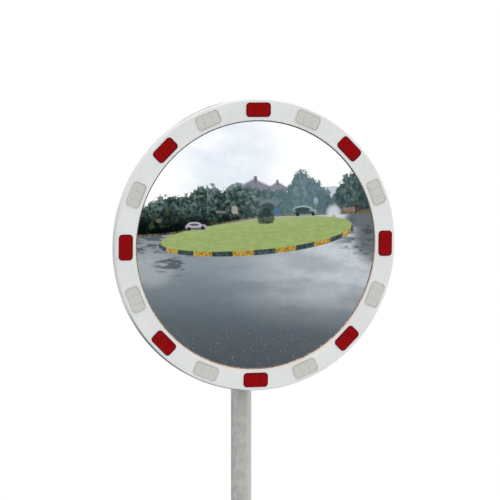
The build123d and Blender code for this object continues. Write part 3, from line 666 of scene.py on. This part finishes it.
class Outlook:
    """Masks on the view all round, in degrees across and above the horizon."""

    def __init__(self, shader, direction):
        self.shader = shader
        axes = shader.add("SeparateXYZ", {"Vector": direction})
        x, y, z = (axes.outputs[axis] for axis in "XYZ")
        forwards = shader.math("MULTIPLY", y, -1.0)
        self.across = shader.math("MULTIPLY", shader.math("ARCTAN2", x, forwards), 180 / pi)
        self.above = shader.math("MULTIPLY", shader.math("ARCSINE", z), 180 / pi)
        wobble = shader.add("SeparateColor", {"Color": shader.noise(direction, 75.0, 4.0, output="Color")})
        self.rough_across = shader.math("MULTIPLY_ADD", wobble.outputs[0], RAGGED_ACROSS, self.across)
        self.rough_above = shader.math("MULTIPLY_ADD", wobble.outputs[1], RAGGED_ABOVE, self.above)

    def shape(self, across, above, half_width, half_height, squareness=2, soft=0.4, ragged=True):
        """1 inside a diamond (squareness 1), an oval (2) or a box (4 and more), 0 outside it."""
        shader = self.shader
        reach = []
        pair = ((self.across, across, half_width), (self.above, above, half_height))
        if ragged:
            pair = ((self.rough_across, across + RAGGED_ACROSS / 2, half_width),
                    (self.rough_above, above + RAGGED_ABOVE / 2, half_height))
        for value, middle, half in pair:
            offset = shader.math("MULTIPLY_ADD", value, 1 / half, -middle / half)
            reach.append(shader.math("POWER", shader.math("ABSOLUTE", offset), float(squareness)))
        return shader.span(shader.math("ADD", *reach), 1 + soft, 1 - soft)

    def paint(self, picture, shapes, strength=1.0, soft=0.4, ragged=True):
        """The picture with coloured shapes over it, the first at the back."""
        for *place, colour in shapes:
            mask = self.shader.math("MULTIPLY", self.shape(*place, soft=soft, ragged=ragged), strength)
            picture = self.shader.mix(mask, picture, srgb(*colour))
        return picture


def outdoor_reflection(shader, direction):
    """What the mirror shows: pale sky, trees and houses, a kerbed lawn and wet asphalt."""
    outlook = Outlook(shader, direction)
    across, above = outlook.across, outlook.above

    cloud = shader.noise(shader.stretch(direction, 1, 1, 2.2), 3.0, 5.0, 0.55)
    patch = shader.math("MULTIPLY", shader.span(cloud, 0.3, 0.62), outlook.shape(9, 15, 13, 12, 2, 0.9))
    picture = shader.mix(patch, (1.1, 1.1, 1.1), srgb(236, 242, 252))
    picture = outlook.paint(picture, HOUSES, soft=0.15, ragged=False)

    first, last = SKYLINE[0][0], SKYLINE[-1][0]
    stops = [((angle - first) / (last - first), [height / SKYLINE_TOP] * 3) for angle, height in SKYLINE]
    place = shader.math("DIVIDE", shader.math("SUBTRACT", across, first), float(last - first), clamp=True)
    skyline = shader.math("MULTIPLY", shader.ramp(place, *stops), SKYLINE_TOP)
    leaf = shader.noise(direction, 60.0, 8.0, 0.68)
    bough = shader.noise(shader.stretch(direction, 1, 1, 0.7), 17.0, 4.0, 0.6)
    top = shader.math("ADD", skyline, shader.span(bough, 0.25, 0.75, -0.9, 0.9))
    top = shader.math("ADD", top, shader.span(leaf, 0.2, 0.8, -1.5, 1.5))
    leaves = shader.mix(shader.span(leaf, 0.38, 0.68), srgb(24, 44, 44), srgb(128, 150, 146))
    shade = shader.span(bough, 0.38, 0.6, 0.7, 0.0)
    leaves = shader.mix(shade, leaves, srgb(18, 38, 36))
    gloom = shader.math("MULTIPLY", shader.span(above, -2.2, 4.6, 1.0, 0.0),
                        shader.span(across, -6.0, 6.0, 1.0, 0.84))
    gloom = shader.math("ADD", gloom, shader.span(across, 38.0, 42.0, 0.0, 0.3))
    leaves = shader.mix(gloom, leaves, srgb(5, 15, 14))
    warm = shader.span(shader.noise(direction, 24.0, 3.0), 0.55, 0.7, 0.0, 0.3)
    leaves = shader.mix(warm, leaves, srgb(96, 112, 72))
    haze = shader.math("MULTIPLY", shader.span(across, 10.0, 26.0),
                       shader.span(across, 32.0, 39.0, 0.42, 0.1))
    leaves = shader.mix(haze, leaves, srgb(128, 158, 170))
    edge = shader.math("SUBTRACT", top, above)
    picture = shader.mix(shader.span(edge, -0.2, 0.3), picture, leaves)

    # The road's far edge climbs from the left, under a low brown bank
    horizon = shader.span(across, -13.0, 22.0, -4.5, 0.05)
    below = shader.math("SUBTRACT", horizon, above)
    bank = shader.math("MULTIPLY", shader.span(below, -0.55, -0.4), shader.span(leaf, 0.35, 0.6))
    picture = shader.mix(bank, picture, srgb(134, 120, 92))

    wet = shader.noise(shader.stretch(direction, 1, 1, 3.5), 5.0, 5.0, 0.55)
    depth = shader.math("DIVIDE", above, -60.0, clamp=True)
    road = shader.ramp(depth, (0.0, srgb(152, 158, 164)), (0.17, srgb(140, 150, 159)),
                       (0.3, srgb(118, 128, 136)), (0.42, srgb(99, 108, 115)), (0.6, srgb(84, 91, 98)),
                       (1.0, srgb(62, 67, 72)))
    side = shader.span(across, 3.0, 35.0, 0.12, 1.0)
    sheen = shader.math("MULTIPLY", side, shader.span(above, -28.0, -11.0, 0.0, 0.95))
    sheen = shader.math("MULTIPLY", sheen, shader.span(wet, 0.28, 0.62, 0.5, 1.0))
    road = shader.mix(sheen, road, srgb(216, 222, 229))
    pale = shader.math("MULTIPLY", outlook.shape(-10.5, -12.6, 5.5, 4.2, 2, 0.8), 0.6)
    road = shader.mix(pale, road, srgb(188, 194, 200))
    shadow = shader.math("MAXIMUM", outlook.shape(46.0, -1.0, 6.2, 2.2, 2, 0.4),
                         outlook.shape(48.2, -4.0, 6.0, 6.2, 2, 0.7))
    road = shader.mix(shader.math("MULTIPLY", shadow, 0.88), road, srgb(86, 94, 98))
    ripple = shader.noise(shader.stretch(direction, 1, 1, 4.5), 15.0, 4.0, 0.6)
    shores = shader.math("MAXIMUM", outlook.shape(-15, -5.0, 15, 4.2, 2, 0.7),
                         outlook.shape(50, -5.0, 12, 5.0, 2, 0.7))
    shores = shader.math("MAXIMUM", shores, outlook.shape(-4.0, -11.5, 5.5, 2.6, 2, 0.7))
    puddle = shader.math("MULTIPLY", shores, shader.span(ripple, 0.48, 0.58, 0.0, 0.8))
    road = shader.mix(puddle, road, srgb(70, 82, 88))
    grain = shader.noise(direction, 330.0, 3.0, 0.7)
    road = shader.mix(shader.span(grain, 0.35, 0.66, 0.22, 0.0), road, srgb(34, 40, 46))
    glints = shader.math("MULTIPLY", shader.span(shader.noise(direction, 190.0, 1.0), 0.68, 0.76),
                         shader.span(above, -22.0, -30.0, 0.0, 0.45))
    road = shader.mix(glints, road, srgb(200, 206, 212))
    picture = shader.mix(shader.span(below, -0.15, 0.15), picture, road)
    picture = outlook.paint(picture, WALLS, shader.span(leaf, 0.35, 0.6, 0.95, 0.7))
    picture = outlook.paint(picture, GLARE, 0.9, soft=0.8)

    # The lawn is a long oval, a little higher to the right, inside a painted kerb
    run = shader.math("SUBTRACT", across, LAWN_ACROSS)
    rise = shader.math("SUBTRACT", above, shader.math("MULTIPLY_ADD", run, LAWN_SLOPE, LAWN_ABOVE))
    along = shader.math("DIVIDE", run, KERB_HALF_WIDTH)

    def oval(offset, half_height, width=1.0):
        up = shader.math("DIVIDE", shader.math("ADD", rise, offset), half_height)
        out = shader.math("DIVIDE", along, width)
        return shader.math("ADD", shader.math("POWER", out, 2.0), shader.math("POWER", up, 2.0))

    phase = shader.math("ARCSINE", shader.math("MULTIPLY", along, 0.97))
    blocks = shader.math("SINE", shader.math("MULTIPLY_ADD", phase, 14.6, -2.43))
    worn = shader.noise(direction, 90.0, 4.0)
    yellow = shader.mix(shader.span(worn, 0.3, 0.7), srgb(146, 110, 40), srgb(204, 172, 84))
    black = shader.mix(shader.span(worn, 0.3, 0.7), srgb(36, 48, 52), srgb(82, 96, 98))
    kerb = shader.mix(shader.span(blocks, -0.12, 0.12), black, yellow)
    lawn_reach = oval(-0.22, 3.62, 0.985)
    picture = shader.mix(shader.span(oval(0.42, 4.2), 1.035, 0.98), picture, kerb)
    blades = shader.noise(shader.stretch(direction, 1, 1, 4), 26.0, 5.0, 0.6)
    grass = shader.mix(shader.span(blades, 0.25, 0.75), srgb(147, 166, 100), srgb(165, 184, 120))
    far = shader.span(rise, 0.5, 3.6, 0.0, 0.4)
    grass = shader.mix(far, grass, srgb(172, 188, 134))
    picture = shader.mix(shader.span(lawn_reach, 1.03, 0.97), picture, grass)
    picture = outlook.paint(picture, CARS, 0.95, soft=0.3, ragged=False)
    return outlook.paint(picture, BUSH, shader.span(leaf, 0.35, 0.6, 1.0, 0.8))


def studio_light(shader, direction):
    """Soft white light from all round, strongest from above and a little from the right."""
    axes = shader.add("SeparateXYZ", {"Vector": direction})
    level = shader.ramp(shader.math("MULTIPLY_ADD", axes.outputs["Z"], 0.5, 0.5),
                        (0.0, (0.2, 0.2, 0.2)), (0.45, (0.56, 0.56, 0.562)),
                        (0.62, (0.93, 0.935, 0.94)), (1.0, (1.15, 1.16, 1.18)))
    side = shader.span(axes.outputs["X"], -1.0, 1.0, 0.8, 1.2)
    return shader.mix(1.0, level, side, "MULTIPLY")


world = bpy.data.worlds.new("studio")
scene.world = world
world.use_nodes = True
sky_shader = Shader(world.node_tree)
rays = sky_shader.add("LightPath")
heading = sky_shader.add("TexCoord").outputs["Generated"]
light = sky_shader.mix(rays.outputs["Is Glossy Ray"], studio_light(sky_shader, heading),
                       outdoor_reflection(sky_shader, heading))
light = sky_shader.mix(rays.outputs["Is Camera Ray"], light, (1, 1, 1))
background = sky_shader.add("Background", {"Color": light})
world_output = sky_shader.add("OutputWorld")
world.node_tree.links.new(background.outputs[0], world_output.inputs["Surface"])

# ---------------------------------------------------------------- floor

FLOOR_RADIUS = 4.4
FLOOR_GAP = 0.0005


def pale_floor(shader, point, surface):
    """Pale matt floor with a painted glow that grows away from the object."""
    cloud = shader.noise(point, 3.0, 4.0)
    colour = shader.mix(shader.span(cloud, 0.3, 0.7), (0.74, 0.74, 0.735), (0.78, 0.78, 0.775))
    distance = shader.add("VectorMath", {0: point}, operation="LENGTH").outputs["Value"]
    # Painted light: the floor glows, not at all near the object and more and more further out
    settings(shader, surface, base_color=colour, roughness=0.7, emission_color=(1, 1, 1),
             emission_strength=shader.span(distance, 0.8, FLOOR_RADIUS * 0.95, 0.0, 0.55),
             normal=shader.bump(shader.noise(point, 300.0), 0.05, 0.001))


floor_mesh = bmesh.new()
bmesh.ops.create_circle(floor_mesh, cap_ends=True, segments=160, radius=FLOOR_RADIUS)
floor_data = bpy.data.meshes.new("floor")
floor_mesh.to_mesh(floor_data)
floor_mesh.free()
floor_data.materials.append(material("floor", pale_floor))
floor = bpy.data.objects.new("floor", floor_data)
floor.location.z = cad_low.z - FLOOR_GAP
floor.visible_glossy = False
scene.collection.objects.link(floor)

# ---------------------------------------------------------------- lights


def soft_light(name, place, size, power):
    """A large area light aimed at the head, unseen by the camera and the mirror."""
    data = bpy.data.lights.new(name, "AREA")
    data.size = size
    data.energy = power
    lamp = bpy.data.objects.new(name, data)
    lamp.location = place
    lamp.rotation_euler = (face_centre - Vector(place)).to_track_quat("-Z", "Y").to_euler()
    lamp.visible_camera = False
    lamp.visible_glossy = False
    scene.collection.objects.link(lamp)


soft_light("overhead", (0.6, -0.8, 4.6), 3.0, 40.0)
soft_light("right_side", (3.4, 0.4, 1.6), 2.0, 26.0)

# ---------------------------------------------------------------- camera

CAMERA_DISTANCE = 7.384
CAMERA_AZIMUTH = radians(-17.05)
CAMERA_ELEVATION = radians(3.2)
LENS = 221.15
SENSOR = 36.0
AIM_RIGHT = -0.0169
AIM_UP = -0.01125

towards = Vector((sin(CAMERA_AZIMUTH) * cos(CAMERA_ELEVATION),
                  -cos(CAMERA_AZIMUTH) * cos(CAMERA_ELEVATION), sin(CAMERA_ELEVATION)))
camera_right = Vector((0, 0, 1)).cross(towards).normalized()
camera_up = towards.cross(camera_right)
aim = face_centre + camera_right * AIM_RIGHT + camera_up * AIM_UP
camera_place = face_centre + towards * CAMERA_DISTANCE
camera_data = bpy.data.cameras.new("camera")
camera_data.lens = LENS
camera_data.sensor_width = SENSOR
camera_data.dof.use_dof = False
camera = bpy.data.objects.new("camera", camera_data)
camera.location = camera_place
camera.rotation_euler = (aim - camera_place).to_track_quat("-Z", "Y").to_euler()
scene.collection.objects.link(camera)
scene.camera = camera
scene.view_settings.view_transform = "Standard"
